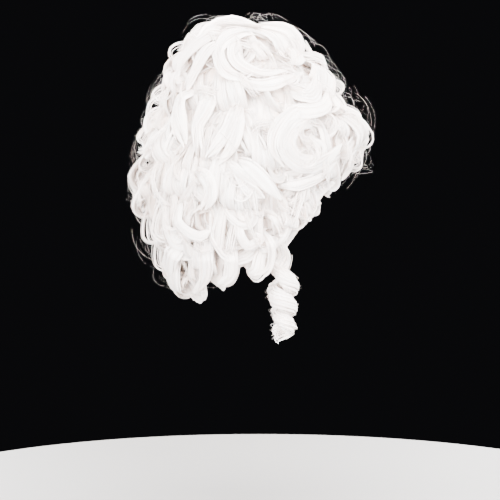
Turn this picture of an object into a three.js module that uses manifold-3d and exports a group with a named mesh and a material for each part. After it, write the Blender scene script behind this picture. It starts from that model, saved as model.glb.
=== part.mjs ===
// A white curly costume wig with a rolled bang: a thin stretch cap, hollow for the head, with sections of curled
// hair fused to a backing that sits on the cap, and a corkscrew ringlet in front of each ear.
// Millimetres. +Z is up, the face looks along -Y, and the wearer's right is -X. The origin is where the crown of
// the head touches the inside of the cap.
import * as THREE from "three";
import { mergeVertices } from "three/addons/utils/BufferGeometryUtils.js";
import Module from "manifold-3d";

const wasm = await Module();
wasm.setup();

// Driving dimensions

const HEAD_HALF_WIDTH = 76;
const HEAD_HALF_DEPTH = 97;
const HEAD_UPPER_HEIGHT = 105; // crown to the widest level of the head
const HEAD_LOWER_HEIGHT = 130; // widest level down to where the same oval would close
const HEAD_FACETS = { around: 18, levels: 10 };
const NECK = { centreY: 36, halfDepth: 49, halfWidth: 57, top: -110, bottom: -320, facets: 16 };
const CAP_WALL = 1.6;
const GAP = 0.4; // clearance between neighbouring pieces
const BACKING_DEPTH = 22; // how far the backing of the curls lies under the hair's outer form
const BACKING_LEVELS = [-215, -160, -105, -55, -15, 25, 65, 95, 116]; // heights of the backing's rings
const BACKING_FACETS = 18; // points round each ring
const LEAST_HAIR = 9; // thinnest layer of hair over the cap, at the hairline
const SINK = 5; // how deep a lock's root goes into that backing
const LOCK_THICKNESS = 5;

// The outer form of the hair: one row for each level, with its foremost and rearmost points and half its width.
const FORM_COLUMNS = ["z", "front", "back", "half"];
const FORM = named(FORM_COLUMNS, [
  [124, 8, 34, 10],
  [118, -28, 66, 44],
  [100, -47, 90, 66],
  [75, -66, 109, 84],
  [50, -86, 120, 97],
  [25, -97, 127, 106],
  [0, -121, 136, 113],
  [-20, -130, 143, 118],
  [-50, -119, 147, 121],
  [-85, -100, 150, 121],
  [-125, -95, 142, 114],
  [-170, -95, 126, 98],
  [-200, -95, 112, 84],
  [-222, -95, 98, 72],
]);
const FORM_FULLNESS = 2.3; // exponent of the level's oval: 2 is an ellipse, more is squarer

// The curls: each row is one lock, placed by its azimuth (0 front, 90 wearer's right, 180 back) and height. The
// lock flows along the form at an angle from straight down (positive towards the face), then winds round its own
// axis. Roll turns that axis: 0 curls under, 90 and -90 lie flat as swirls, 180 flips out.
const LOCK_COLUMNS = ["section", "azimuth", "z", "flow", "roll", "radius", "width", "turns", "sides"];
const LOCKS = named(LOCK_COLUMNS, [
  ["bang_curls", 0, -22, 0, 0, 29, 38, 0.8, "centre"],
  ["bang_curls", 24, -20, 0, 0, 28, 34, 0.8, "both"],
  ["bang_curls", 42, -36, 0, -65, 14, 28, 1.15, "both"],
  ["bang_curls", 64, -36, 0, -85, 27, 30, 1.4, "both"],
  ["bang_curls", 54, 16, 10, -75, 16, 28, 1.15, "both"],
  ["bang_curls", 60, -92, 0, 25, 16, 24, 0.8, "both"],
  ["pompadour_curls", 0, 52, 0, 0, 22, 38, 0.8, "centre"],
  ["pompadour_curls", 33, 50, 0, 0, 22, 36, 0.8, "both"],
  ["crown_curls", 0, 100, 0, 0, 25, 34, 0.8, "centre"],
  ["crown_curls", 52, 92, 0, 0, 23, 30, 0.8, "both"],
  ["crown_curls", 100, 88, -90, -80, 30, 30, 1.1, "both"],
  ["crown_curls", 146, 90, 0, 0, 23, 34, 0.8, "both"],
  ["crown_curls", 180, 112, 0, 0, 24, 30, 0.8, "centre"],
  ["side_curls", 77, 24, 0, -30, 19, 30, 0.8, "both"],
  ["side_curls", 102, 20, 0, 0, 20, 28, 0.8, "both"],
  ["side_curls", 99, -38, 0, -80, 15, 30, 1.15, "both"],
  ["side_curls", 82, -54, 0, 0, 18, 26, 0.8, "both"],
  ["side_curls", 87, -104, 30, 0, 17, 24, 0.8, "both"],
  ["side_curls", 102, -88, 0, 0, 19, 26, 0.8, "both"],
  ["side_curls", 76, -134, 0, 80, 15, 30, 1.15, "both"],
  ["side_curls", 95, -152, 30, -65, 14, 28, 1.15, "both"],
  ["back_curls_upper", 128, 20, 0, 0, 21, 36, 0.8, "both"],
  ["back_curls_upper", 160, 24, 0, 0, 21, 42, 0.8, "both"],
  ["back_curls_upper", 120, -34, -15, 0, 17, 26, 0.8, "both"],
  ["back_curls_upper", 144, -32, 0, 0, 20, 36, 0.8, "both"],
  ["back_curls_upper", 180, -30, 0, 0, 20, 42, 0.8, "centre"],
  ["back_curls_lower", 128, -82, 0, 15, 18, 30, 0.8, "both"],
  ["back_curls_lower", 161, -86, 0, 180, 18, 40, 1.1, "both"],
  ["back_curls_lower", 115, -132, 0, -20, 16, 24, 0.8, "both"],
  ["back_curls_lower", 140, -132, 0, 0, 18, 34, 0.8, "both"],
  ["back_curls_lower", 180, -134, 0, 0, 18, 40, 0.8, "centre"],
  ["nape_curls", 122, -178, 0, 20, 15, 26, 0.8, "both"],
  ["nape_curls", 159, -174, 0, 180, 15, 28, 1.1, "both"],
  ["nape_curls", 144, -206, 0, 75, 14, 26, 1.15, "both"],
  ["nape_curls", 180, -206, 0, 0, 14, 28, 0.8, "centre"],
]);
const LOCK_LEAD = 30; // length of the flowing part that comes out of the backing
const LOCK_STEPS = { lead: 2, perTurn: 6.4 };
const LOCK_TAPER = { root: 0.75, fullFrom: 0.2, fullTo: 0.65, tip: 0.65 }; // shares of its width, along its length
const LOCK_THINNING = 0.45; // share of its thickness that a lock loses on its way to the tip
const LOCK_SHRINK = 0.55; // share of its radius that a curl loses on its way to the tip
const LOCK_DRIFT = 0.12; // sideways travel of the curl along its axis, as a share of its width
const FORM_ROUND = 130; // mean radius of the form, which the flowing part of a lock follows

// The ringlet: it leaves the cap in front of the ear and winds down past the jaw as a tightening corkscrew.
const RINGLET = {
  root: { x: -78, y: -16, z: -146 },
  axis: { x: -68, y: -27 },
  looseTurn: 46, // height of the first, loose turn
  tightTurn: 24, // height of each later turn
  tightTurns: 3,
  radius: 13,
  tipRadius: 8,
  width: 20,
  thickness: 4.5,
  taper: { root: 0.6, fullFrom: 0.3, fullTo: 0.8, tip: 0.6 },
  stepsPerTurn: 8,
};

// The hairline, seen from the side as [y, z] points from forehead to nape: the cap's edge, and the edge of the hair.
const CAP_EDGE = [
  [-110, -46],
  [-92, -62],
  [-30, -150],
  [92, -172],
];
const HAIR_EDGE = [
  [-130, -64],
  [-95, -76],
  [-58, -111],
  [-34, -150],
  [-24, -166],
  [75, -200],
];

// The sections of the hair, seen from the side: [front, back] and [bottom, top]. An earlier section lies over a later.
const FAR = 330;
const CROWN_BASE = 60;
const BANG_TOP = 15;
const FACE_SIDE = -22;
const BACK_SIDE = 64;
const SECTIONS = [
  { name: "bang_curls", y: [-FAR, FACE_SIDE], z: [-FAR, BANG_TOP] },
  { name: "pompadour_curls", y: [-FAR, FACE_SIDE], z: [BANG_TOP, CROWN_BASE] },
  { name: "crown_curls", y: [-FAR, FAR], z: [CROWN_BASE, FAR] },
  { name: "side_curls_right", y: [FACE_SIDE, BACK_SIDE], z: [-FAR, CROWN_BASE], x: [-FAR, 0] },
  { name: "side_curls_left", y: [FACE_SIDE, BACK_SIDE], z: [-FAR, CROWN_BASE], x: [0, FAR] },
  { name: "back_curls_upper", y: [BACK_SIDE, FAR], z: [-54, CROWN_BASE] },
  { name: "back_curls_lower", y: [BACK_SIDE, FAR], z: [-152, -54] },
  { name: "nape_curls", y: [BACK_SIDE, FAR], z: [-FAR, -152] },
];

const HAIR_FINISH = { color: 0xf3f0ee, roughness: 0.45, metalness: 0 };
const CAP_FINISH = { color: 0xe9e3da, roughness: 0.9, metalness: 0 };

// Tables and solids

function named(columns, rows) {
  return rows.map((row) => Object.fromEntries(columns.map((key, i) => [key, row[i]])));
}

function solidFrom(geometry) {
  const bare = new THREE.BufferGeometry();
  bare.setAttribute("position", geometry.getAttribute("position"));
  bare.setIndex(geometry.index);
  const merged = mergeVertices(bare, 1e-4);
  return new wasm.Manifold(
    new wasm.Mesh({
      numProp: 3,
      vertProperties: new Float32Array(merged.attributes.position.array),
      triVerts: new Uint32Array(merged.index.array),
    }),
  );
}

function geometryFrom(solid) {
  const { vertProperties, triVerts } = solid.getMesh();
  const geometry = new THREE.BufferGeometry();
  geometry.setAttribute("position", new THREE.BufferAttribute(vertProperties, 3));
  geometry.setIndex(new THREE.BufferAttribute(triVerts, 1));
  geometry.computeVertexNormals();
  return geometry;
}

function largestBody(solid) {
  return solid.decompose().reduce((best, body) => (body.volume() > best.volume() ? body : best));
}

// A closed solid through rings of points, each ring counter-clockwise seen from the end of the loft. Each side is
// split along its shorter diagonal, so a mirrored loft has a mirrored surface.
function loft(rings) {
  const count = rings[0].length;
  const points = rings.flat();
  const middle = (ring) => ring.reduce((sum, p) => sum.add(p), new THREE.Vector3()).divideScalar(count);
  const first = points.push(middle(rings[0])) - 1;
  const last = points.push(middle(rings.at(-1))) - 1;
  const end = (rings.length - 1) * count;
  const faces = [];
  for (let j = 0; j < count; j++) {
    const k = (j + 1) % count;
    for (let base = 0; base < end; base += count) {
      const [a, b, c, d] = [base + j, base + k, base + count + k, base + count + j];
      const rising = points[a].distanceTo(points[c]) < points[b].distanceTo(points[d]);
      faces.push(...(rising ? [a, b, c, a, c, d] : [a, b, d, b, c, d]));
    }
    faces.push(first, k, j, last, end + j, end + k);
  }
  return solidFrom(new THREE.BufferGeometry().setFromPoints(points).setIndex(faces));
}

// A prism across the whole width, from an outline in the side view's [y, z].
function sidePrism(outline) {
  const shape = new THREE.Shape(outline.map(([y, z]) => new THREE.Vector2(y, z)));
  const prism = new THREE.ExtrudeGeometry(shape, { depth: 2 * FAR, bevelEnabled: false });
  prism.applyMatrix4(new THREE.Matrix4().makeBasis(axisY, axisZ, axisX));
  prism.translate(-FAR, 0, 0);
  return solidFrom(prism);
}

const axisX = new THREE.Vector3(1, 0, 0);
const axisY = new THREE.Vector3(0, 1, 0);
const axisZ = new THREE.Vector3(0, 0, 1);

// The outer form

// One column of the form's table at height z, on a smooth curve through its rows.
function formColumn(key, z) {
  const last = FORM.length - 1;
  const below = FORM.findIndex((row) => row.z < z);
  const i = below < 0 ? last - 1 : Math.max(0, Math.min(last - 1, below - 1));
  const [p, q] = [FORM[i], FORM[i + 1]];
  const slope = (n) => {
    const [a, b] = [FORM[Math.max(0, n - 1)], FORM[Math.min(last, n + 1)]];
    return (b[key] - a[key]) / (b.z - a.z);
  };
  const span = q.z - p.z;
  const t = THREE.MathUtils.clamp((z - p.z) / span, 0, 1);
  const rise = t * t * (3 - 2 * t);
  const bend = span * (t * (1 - t) * (1 - t) * slope(i) - t * t * (1 - t) * slope(i + 1));
  return p[key] + (q[key] - p[key]) * rise + bend;
}

function formPoint(azimuth, z) {
  const [front, back, half] = ["front", "back", "half"].map((key) => formColumn(key, z));
  const [sine, cosine] = [Math.sin(azimuth), Math.cos(azimuth)];
  const fullness = (Math.abs(sine) ** FORM_FULLNESS + Math.abs(cosine) ** FORM_FULLNESS) ** (-1 / FORM_FULLNESS);
  const middle = (front + back) / 2;
  return new THREE.Vector3(-half * fullness * sine, middle - ((back - front) / 2) * fullness * cosine, z);
}

// The form's outward normal, and the directions down and towards the face along it.
function formFrame(azimuth, z) {
  const [turn, rise] = [0.02, 3];
  const fore = formPoint(azimuth - turn, z).sub(formPoint(azimuth + turn, z)).normalize();
  const drop = formPoint(azimuth, z - rise).sub(formPoint(azimuth, z + rise));
  const normal = new THREE.Vector3().crossVectors(drop, fore).normalize();
  const down = new THREE.Vector3().crossVectors(fore, normal).normalize();
  return { normal, down, fore };
}

// How far out a point lies from the head's middle, where 1 is on the head grown by the given amount.
function headReach(point, grow) {
  const height = point.z > -HEAD_UPPER_HEIGHT ? HEAD_UPPER_HEIGHT : HEAD_LOWER_HEIGHT;
  const halves = new THREE.Vector3(HEAD_HALF_WIDTH, HEAD_HALF_DEPTH, height).addScalar(grow);
  return point.clone().sub(headCentre).divide(halves).length();
}

const headCentre = new THREE.Vector3(0, 0, -HEAD_UPPER_HEIGHT);

// The backing of the curls: it lies under the form, but keeps the least layer of hair over the cap.
function backingSolid(grow) {
  const rings = BACKING_LEVELS.map((z) =>
    Array.from({ length: BACKING_FACETS }, (_, j) => {
      const azimuth = (-2 * Math.PI * j) / BACKING_FACETS;
      const point = formPoint(azimuth, z).addScaledVector(formFrame(azimuth, z).normal, grow - BACKING_DEPTH);
      const reach = headReach(point, CAP_WALL + GAP + LEAST_HAIR + grow);
      return point.sub(headCentre).divideScalar(Math.min(1, reach)).add(headCentre);
    }),
  );
  return loft(rings).subtract(hairInside).subtract(hairFace);
}

// Locks of hair

// A flat band of hair swept along stations {at, across, forward}, given its width and thickness at each share of
// its length, and grown on every side.
function band(stations, widthAt, thicknessAt, grow) {
  const end = stations.length - 1;
  stations[0].at.addScaledVector(stations[0].forward, -grow);
  stations[end].at.addScaledVector(stations[end].forward, grow);
  const rings = stations.map(({ at, across, forward }, i) => {
    const up = new THREE.Vector3().crossVectors(forward, across).normalize();
    const aside = new THREE.Vector3().crossVectors(up, forward);
    const [w, h] = [widthAt, thicknessAt].map((size) => size(i / end) / 2 + grow);
    const corners = [
      [w, h],
      [-w, h],
      [-w, -h],
      [w, -h],
    ];
    return corners.map(([a, b]) => at.clone().addScaledVector(aside, a).addScaledVector(up, b));
  });
  return loft(rings);
}

function withForward(stations) {
  return stations.map((station, i) => {
    const [a, b] = [stations[Math.max(0, i - 1)], stations[Math.min(stations.length - 1, i + 1)]];
    return { ...station, forward: b.at.clone().sub(a.at).normalize() };
  });
}

// The share of a band's full width at a share of its length.
function tapered({ root, fullFrom, fullTo, tip }, share) {
  const growing = THREE.MathUtils.clamp(share / fullFrom, 0, 1);
  const fading = THREE.MathUtils.clamp((share - fullTo) / (1 - fullTo), 0, 1);
  return THREE.MathUtils.lerp(root, 1, growing) * THREE.MathUtils.lerp(1, tip, fading);
}

function lockStations(lock, side) {
  const radians = THREE.MathUtils.degToRad;
  const azimuth = side * radians(lock.azimuth);
  const { normal, down, fore } = formFrame(azimuth, lock.z);
  const [flow, roll] = [radians(lock.flow), side * radians(lock.roll)];
  const forward = down.clone().multiplyScalar(Math.cos(flow)).addScaledVector(fore, side * Math.sin(flow));
  const aside = new THREE.Vector3().crossVectors(normal, forward);
  const out = normal.clone().multiplyScalar(Math.cos(roll)).addScaledVector(aside, Math.sin(roll));
  const across = aside.clone().multiplyScalar(Math.cos(roll)).addScaledVector(normal, -Math.sin(roll));
  const inset = lock.radius * Math.abs(Math.cos(roll)) + (lock.width / 2) * Math.abs(Math.sin(roll));
  const centre = formPoint(azimuth, lock.z).addScaledVector(normal, -inset);
  const start = centre.clone().addScaledVector(out, lock.radius);
  const startDepth = inset - lock.radius * Math.cos(roll);
  const drop = Math.max(0, BACKING_DEPTH + SINK - startDepth) + LOCK_LEAD ** 2 / (2 * FORM_ROUND);
  const stations = [];
  for (let i = 0; i < LOCK_STEPS.lead; i++) {
    const back = 1 - i / LOCK_STEPS.lead;
    const at = start.clone().addScaledVector(forward, -LOCK_LEAD * back).addScaledVector(normal, -drop * back * back);
    stations.push({ at, across });
  }
  const steps = Math.round(lock.turns * LOCK_STEPS.perTurn);
  for (let i = 0; i <= steps; i++) {
    const share = i / steps;
    const angle = 2 * Math.PI * lock.turns * share;
    const radius = lock.radius * (1 - LOCK_SHRINK * share);
    const at = centre
      .clone()
      .addScaledVector(out, radius * Math.cos(angle))
      .addScaledVector(forward, radius * Math.sin(angle))
      .addScaledVector(across, LOCK_DRIFT * lock.width * share);
    stations.push({ at, across });
  }
  return withForward(stations);
}

function lockSolid(lock, side, grow) {
  const width = (share) => lock.width * tapered(LOCK_TAPER, share);
  const thickness = (share) => LOCK_THICKNESS * (1 - LOCK_THINNING * share);
  return band(lockStations(lock, side), width, thickness, grow);
}

function ringletSolid(side, grow) {
  const { root, axis, looseTurn, tightTurn, tightTurns, radius, tipRadius, stepsPerTurn } = RINGLET;
  const stations = [];
  const steps = Math.round((1 + tightTurns) * stepsPerTurn);
  for (let i = 0; i <= steps; i++) {
    const turns = i / stepsPerTurn;
    const loose = Math.min(1, turns);
    const tight = Math.max(0, turns - 1);
    const r = radius * loose + (tipRadius - radius) * (tight / tightTurns) ** 2;
    const angle = 2 * Math.PI * turns;
    const x = THREE.MathUtils.lerp(root.x, axis.x, loose) - r * Math.cos(angle);
    const y = THREE.MathUtils.lerp(root.y, axis.y, loose) - r * Math.sin(angle);
    const z = root.z - looseTurn * loose - tightTurn * tight;
    const across = axisY.clone().lerp(axisZ, loose * loose).normalize();
    stations.push({ at: new THREE.Vector3(side * x, y, z), across });
  }
  const width = (share) => RINGLET.width * tapered(RINGLET.taper, share);
  return band(withForward(stations), width, () => RINGLET.thickness, grow);
}

// The head's hollow and the face's opening

function headSolid(grow) {
  const { around, levels } = HEAD_FACETS;
  const rings = [];
  for (let i = 1; i < levels; i++) {
    const tilt = -Math.PI / 2 + (Math.PI * i) / levels;
    const height = tilt > 0 ? HEAD_UPPER_HEIGHT : HEAD_LOWER_HEIGHT;
    const z = -HEAD_UPPER_HEIGHT + (height + grow) * Math.sin(tilt);
    rings.push(
      Array.from({ length: around }, (_, j) => {
        const turn = (2 * Math.PI * j) / around;
        const [x, y] = [Math.cos(turn) * (HEAD_HALF_WIDTH + grow), Math.sin(turn) * (HEAD_HALF_DEPTH + grow)];
        return new THREE.Vector3(x * Math.cos(tilt), y * Math.cos(tilt), z);
      }),
    );
  }
  rings.push(rings[0].map(() => new THREE.Vector3(0, 0, grow)));
  rings.unshift(rings[0].map(() => new THREE.Vector3(0, 0, -HEAD_UPPER_HEIGHT - HEAD_LOWER_HEIGHT - grow)));
  return loft(rings);
}

function neckSolid() {
  const neck = new THREE.CylinderGeometry(1, 1, NECK.top - NECK.bottom, NECK.facets);
  neck.rotateX(Math.PI / 2);
  neck.scale(NECK.halfWidth, NECK.halfDepth, 1);
  neck.translate(0, NECK.centreY, (NECK.top + NECK.bottom) / 2);
  return solidFrom(neck);
}

// Everything in front of and below a hairline.
function faceOpening(edge) {
  const [foreheadZ, napeZ] = [edge[0][1], edge.at(-1)[1]];
  return sidePrism([[-FAR, -FAR], [FAR, -FAR], [FAR, napeZ], ...edge.toReversed(), [-FAR, foreheadZ]]);
}

// Assembly

const capInside = headSolid(0);
const capOutside = headSolid(CAP_WALL);
const hairInside = headSolid(CAP_WALL + GAP).add(neckSolid());
const capSolid = largestBody(capOutside.subtract(capInside).subtract(faceOpening(CAP_EDGE)));
const hairFace = faceOpening(HAIR_EDGE);

function sectionBox({ x = [-FAR, FAR], y, z }, grow) {
  const size = [x, y, z].map(([low, high]) => high - low - GAP + 2 * grow);
  const box = new THREE.BoxGeometry(...size);
  box.translate(...[x, y, z].map(([low, high]) => (low + high) / 2));
  return solidFrom(box);
}

const sideNames = { side_curls: { 1: "side_curls_right", [-1]: "side_curls_left" } };

function locksOf(sectionName, grow) {
  const solids = [];
  for (const lock of LOCKS) {
    for (const side of lock.sides === "both" ? [1, -1] : [1]) {
      const owner = sideNames[lock.section]?.[side] ?? lock.section;
      if (owner === sectionName) solids.push(lockSolid(lock, side, grow));
    }
  }
  return solids;
}

function sectionSolid(section, grow) {
  const backing = backingSolid(grow).intersect(sectionBox(section, grow));
  return wasm.Manifold.union([backing, ...locksOf(section.name, grow)]);
}

const wig = new THREE.Group();
wig.name = "curly_wig";

function addPiece(name, solid, finish) {
  const mesh = new THREE.Mesh(geometryFrom(solid), new THREE.MeshStandardMaterial(finish));
  mesh.name = name;
  wig.add(mesh);
}

addPiece("wig_cap", capSolid, CAP_FINISH);
const taken = [];
for (const [name, side] of [["ringlet_right", 1], ["ringlet_left", -1]]) {
  addPiece(name, largestBody(ringletSolid(side, 0).subtract(headSolid(CAP_WALL + GAP))), HAIR_FINISH);
  taken.push(ringletSolid(side, GAP));
}
for (const section of SECTIONS) {
  const clear = sectionSolid(section, 0).subtract(hairInside).subtract(wasm.Manifold.union(taken));
  addPiece(section.name, largestBody(clear), HAIR_FINISH);
  taken.push(sectionSolid(section, GAP));
}

export default wig;
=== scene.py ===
import math

import bpy
import numpy as np
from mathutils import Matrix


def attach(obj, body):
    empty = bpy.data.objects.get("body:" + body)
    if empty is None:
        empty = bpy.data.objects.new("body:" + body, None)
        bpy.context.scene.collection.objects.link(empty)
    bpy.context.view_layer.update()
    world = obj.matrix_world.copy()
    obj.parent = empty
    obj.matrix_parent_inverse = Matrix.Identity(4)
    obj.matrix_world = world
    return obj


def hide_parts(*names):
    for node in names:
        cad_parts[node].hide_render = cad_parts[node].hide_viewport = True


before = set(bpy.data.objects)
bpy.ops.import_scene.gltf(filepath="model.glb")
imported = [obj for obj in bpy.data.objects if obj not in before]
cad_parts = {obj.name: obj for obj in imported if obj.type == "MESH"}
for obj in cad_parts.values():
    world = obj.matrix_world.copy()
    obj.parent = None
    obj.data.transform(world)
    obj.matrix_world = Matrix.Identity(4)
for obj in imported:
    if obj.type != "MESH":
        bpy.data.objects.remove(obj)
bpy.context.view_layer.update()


# Wig cap
# A close hood of beige stretch net, knitted in small meshes, that every row of hair is sewn onto. It is cut
# on a line from the forehead past the ears to the nape, and rows of lockstitch run round it under the hair.
MM = 0.001
CAP_HALF_WIDTH = 76  # inner sizes of the cap; sizes are in mm where nothing else is said
CAP_HALF_DEPTH = 97
CAP_UPPER_HEIGHT = 105  # crown to the widest level
CAP_LOWER_HEIGHT = 130  # widest level down to where the same oval would close
CAP_WALL = 1.6
CAP_SEGMENTS = 72
CAP_RINGS = 48
CAP_CUTS = (
    ((-92, -62), (-30, -150)),
    ((-30, -150), (92, -172)),
)  # the two lines of the cap's edge in the side view, as (y, z)
CAP_EDGE = math.radians(50)  # the rim is sharper than this and stays crisp
NET_HEX = "#E9E3DA"
NET_SHADE_HEX = "#CFC4B4"
NET_MESH = 2.4  # drawn twice as coarse as the real net, so that it shows
STITCH_ROW = 11  # distance between the rows of stitching


def linear(hex_colour):
    """The linear colour of an sRGB hex value."""
    shares = [int(hex_colour[i : i + 2], 16) / 255 for i in (1, 3, 5)]
    return [s / 12.92 if s <= 0.04045 else ((s + 0.055) / 1.055) ** 2.4 for s in shares] + [1.0]


def add_node(material, kind, inputs=None, **settings):
    """Adds a node with its settings. Each input is a plain value, or the output socket that feeds it."""
    tree = material.node_tree
    node = tree.nodes.new(kind)
    for key, value in settings.items():
        setattr(node, key, value)
    for key, value in (inputs or {}).items():
        if isinstance(value, bpy.types.NodeSocket):
            tree.links.new(value, node.inputs[key])
        else:
            node.inputs[key].default_value = value
    return node


def new_material(name):
    material = bpy.data.materials.new(name)
    material.use_nodes = True
    material.node_tree.nodes.clear()
    return material


def knitted_stretch_net():
    """Nylon net knitted in small round meshes: matte, soft to the eye, with a darker dot in each mesh."""
    net = new_material("knitted_stretch_net")
    place = add_node(net, "ShaderNodeTexCoord")
    cells = {"Vector": place.outputs["Object"], "Scale": 1 / (NET_MESH * MM), "Randomness": 0.35}
    meshes = add_node(net, "ShaderNodeTexVoronoi", cells)
    row_scale = math.pi / (10 * STITCH_ROW * MM)  # the wave texture repeats every pi / 10 of its own length
    rows = add_node(
        net,
        "ShaderNodeTexWave",
        {"Vector": place.outputs["Object"], "Scale": row_scale, "Distortion": 0.4},
        bands_direction="Z",
    )
    stitched = add_node(net, "ShaderNodeMapRange", {"Value": rows.outputs["Fac"], "From Min": 0.86})
    relief = add_node(
        net,
        "ShaderNodeMath",
        {0: meshes.outputs["Distance"], 1: stitched.outputs["Result"]},
        operation="SUBTRACT",
    )
    colour = add_node(
        net,
        "ShaderNodeMix",
        {"Factor": meshes.outputs["Distance"], "A": linear(NET_HEX), "B": linear(NET_SHADE_HEX)},
        data_type="RGBA",
    )
    bump = add_node(
        net,
        "ShaderNodeBump",
        {"Strength": 0.6, "Distance": 0.5 * MM, "Height": relief.outputs["Value"]},
        invert=True,
    )
    surface = add_node(
        net,
        "ShaderNodeBsdfPrincipled",
        {
            "Base Color": colour.outputs["Result"],
            "Roughness": 0.9,
            "Sheen Weight": 0.2,
            "Normal": bump.outputs["Normal"],
        },
    )
    add_node(net, "ShaderNodeOutputMaterial", {"Surface": surface.outputs["BSDF"]})
    return net


bpy.ops.object.select_all(action="DESELECT")
bpy.ops.mesh.primitive_uv_sphere_add(
    segments=CAP_SEGMENTS, ring_count=CAP_RINGS, radius=CAP_UPPER_HEIGHT * MM
)
cap = bpy.context.object
cap.name = "stretch_cap"
cap.data.name = "stretch_cap"
bpy.ops.object.mode_set(mode="EDIT")
cap_shares = (CAP_HALF_WIDTH / CAP_UPPER_HEIGHT, CAP_HALF_DEPTH / CAP_UPPER_HEIGHT, 1)
bpy.ops.transform.resize(value=cap_shares, center_override=(0, 0, 0))
bpy.ops.mesh.select_all(action="DESELECT")
bpy.ops.object.mode_set(mode="OBJECT")
for vertex in cap.data.vertices:
    vertex.select = vertex.co.z < -MM
bpy.ops.object.mode_set(mode="EDIT")
bpy.ops.transform.resize(value=(1, 1, CAP_LOWER_HEIGHT / CAP_UPPER_HEIGHT), center_override=(0, 0, 0))
bpy.ops.mesh.select_all(action="SELECT")
bpy.ops.transform.translate(value=(0, 0, -CAP_UPPER_HEIGHT * MM))
for (y0, z0), (y1, z1) in CAP_CUTS:
    bpy.ops.mesh.select_all(action="SELECT")
    length = math.hypot(z0 - z1, y1 - y0)
    upward = (0, (z0 - z1) / length, (y1 - y0) / length)
    bpy.ops.mesh.bisect(plane_co=(0, y0 * MM, z0 * MM), plane_no=upward, clear_inner=True)
bpy.ops.object.mode_set(mode="OBJECT")
wall = cap.modifiers.new("wall", "SOLIDIFY")
wall.thickness = CAP_WALL * MM
wall.offset = 1
bpy.ops.object.modifier_apply(modifier=wall.name)
bpy.ops.object.shade_smooth_by_angle(angle=CAP_EDGE)
cap.data.materials.append(knitted_stretch_net())
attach(cap, "root")
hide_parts("wig_cap")


# Weft rows
# Machine-sewn rows of straight fibre that cover the cap from the crown to the hairline, under the curls.
# They are combed flat, so that between two curls the eye meets more hair and not the net.
FORM = np.array(
    (
        (-222, -95, 98, 72),
        (-200, -95, 112, 84),
        (-170, -95, 126, 98),
        (-125, -95, 142, 114),
        (-85, -100, 150, 121),
        (-50, -119, 147, 121),
        (-20, -130, 143, 118),
        (0, -121, 136, 113),
        (25, -97, 127, 106),
        (50, -86, 120, 97),
        (75, -66, 109, 84),
        (100, -47, 90, 66),
        (118, -28, 66, 44),
        (124, 8, 34, 10),
    ),
    float,
)  # the hair's outer form in mm, a row for each level: height, foremost, rearmost and half width
FORM_SLOPES = np.gradient(FORM[:, 1:], FORM[:, 0], axis=0)  # kept for the first and the last row
FORM_SLOPES[1:-1] = (FORM[2:, 1:] - FORM[:-2, 1:]) / (FORM[2:, :1] - FORM[:-2, :1])
FORM_FULLNESS = 2.3  # exponent of a level's oval: 2 is an ellipse, more is squarer
FORM_HEART = np.array((0.0, 12.0, -40.0))  # a point well inside the form
FORM_REACH = 260  # longer than any ray inside the form
HALVINGS = 20  # steps of a search by halves
HAIRLINE = np.array(
    ((-130, -64), (-95, -76), (-58, -111), (-34, -150), (-24, -166), (75, -200)), float
)  # the hair's lower edge in the side view, as (y, z)
CAP_CENTRE = np.array((0.0, 0.0, -CAP_UPPER_HEIGHT))
NECK_CENTRE_Y = 36  # the round that the wefts leave free below the cap
NECK_HALF_DEPTH = 49
NECK_HALF_WIDTH = 57
NECK_TOP = -110
WEFT_DEPTH = 22  # how far the wefts lie under the outer form
WEFT_LEAST = 3  # layer of wefts over the cap at the hairline
WEFT_LIFT = 6  # how far above the hair's own edge the wefts end
WEFT_SLOPE = 40  # height over which they grow to their full depth
WEFT_GROWTH = 0.6  # exponent of that growth: below 1 it is steepest at the edge
WEFT_CLEARANCE = 2.2  # inner side of the wefts, measured from the inside of the cap
WEFT_POLE = 0.004  # share of the way down from the crown at which the shell closes
WEFT_FIBRE_STEP = 6.0  # length of fibre from one level to the next
WEFT_TURNS = 80
WEFT_LEVELS = 36
WEFT_INNER_LEVELS = 10
WEFT_SEED = 10
RIBBON_ROWS = ((0, 0.03, 280), (0.03, 0.8, 180))  # shares of the way up where ribbons start, and how many
RIBBON_STEPS = 12
RIBBON_SIDES = 4
RIBBON_WIDTH = (2.5, 6.0)
RIBBON_THICKNESS = (0.6, 1.0)
RIBBON_WAVE = 0.08  # sideways wave and slant from root to tip, in radians round the cap
RIBBON_SLANT = (-0.1, 0.35)
RIBBON_CLIMB = (0.12, 0.3)  # share of the way up from root to tip
RIBBON_LIFT = (0.5, 3)  # how far the middle of a ribbon stands off the wefts
DOME = 0.14  # rise of a band's middle, as a share of its half width
BAND_SWELL = 0.14  # how far a band's width comes and goes along it, as a share
BAND_RIDGE = 0.3  # how far its corners stand out or lie in, as a share of its thickness
BAND_THINNING = ((0, 0.6, 1), (1, 1, 0.45))  # share of the thickness at each share of the length
PHASE = (0, 6.3)  # any phase of a wave, in radians
TAPER = ((0, 0.3, 0.62, 0.88, 1), (0.45, 1, 1, 0.6, 0.16))  # share of the width at each share of the length
WISP_TAPER = ((0, 0.22, 0.6, 1), (0.12, 1, 1, 0.1))
HAIR_HEX = "#FAF1EB"
HAIR_SHADE_HEX = "#E9D5CB"
BAND_EDGE = math.radians(75)  # a band's two edges are sharper than this and stay crisp
FIBRE_CLUMP = 0.9  # width of a clump of fibres, drawn coarser than one fibre so that it shows
FIBRE_RUN = 45  # length along which a clump keeps its tone
STRAND_GROUP = 4.5  # width of a group of clumps that share a tone
FIBRE_SHIFT = 4000  # length over which the pattern is shifted from one band to the next


def unit(vectors):
    return vectors / np.linalg.norm(vectors, axis=-1, keepdims=True)


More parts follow.
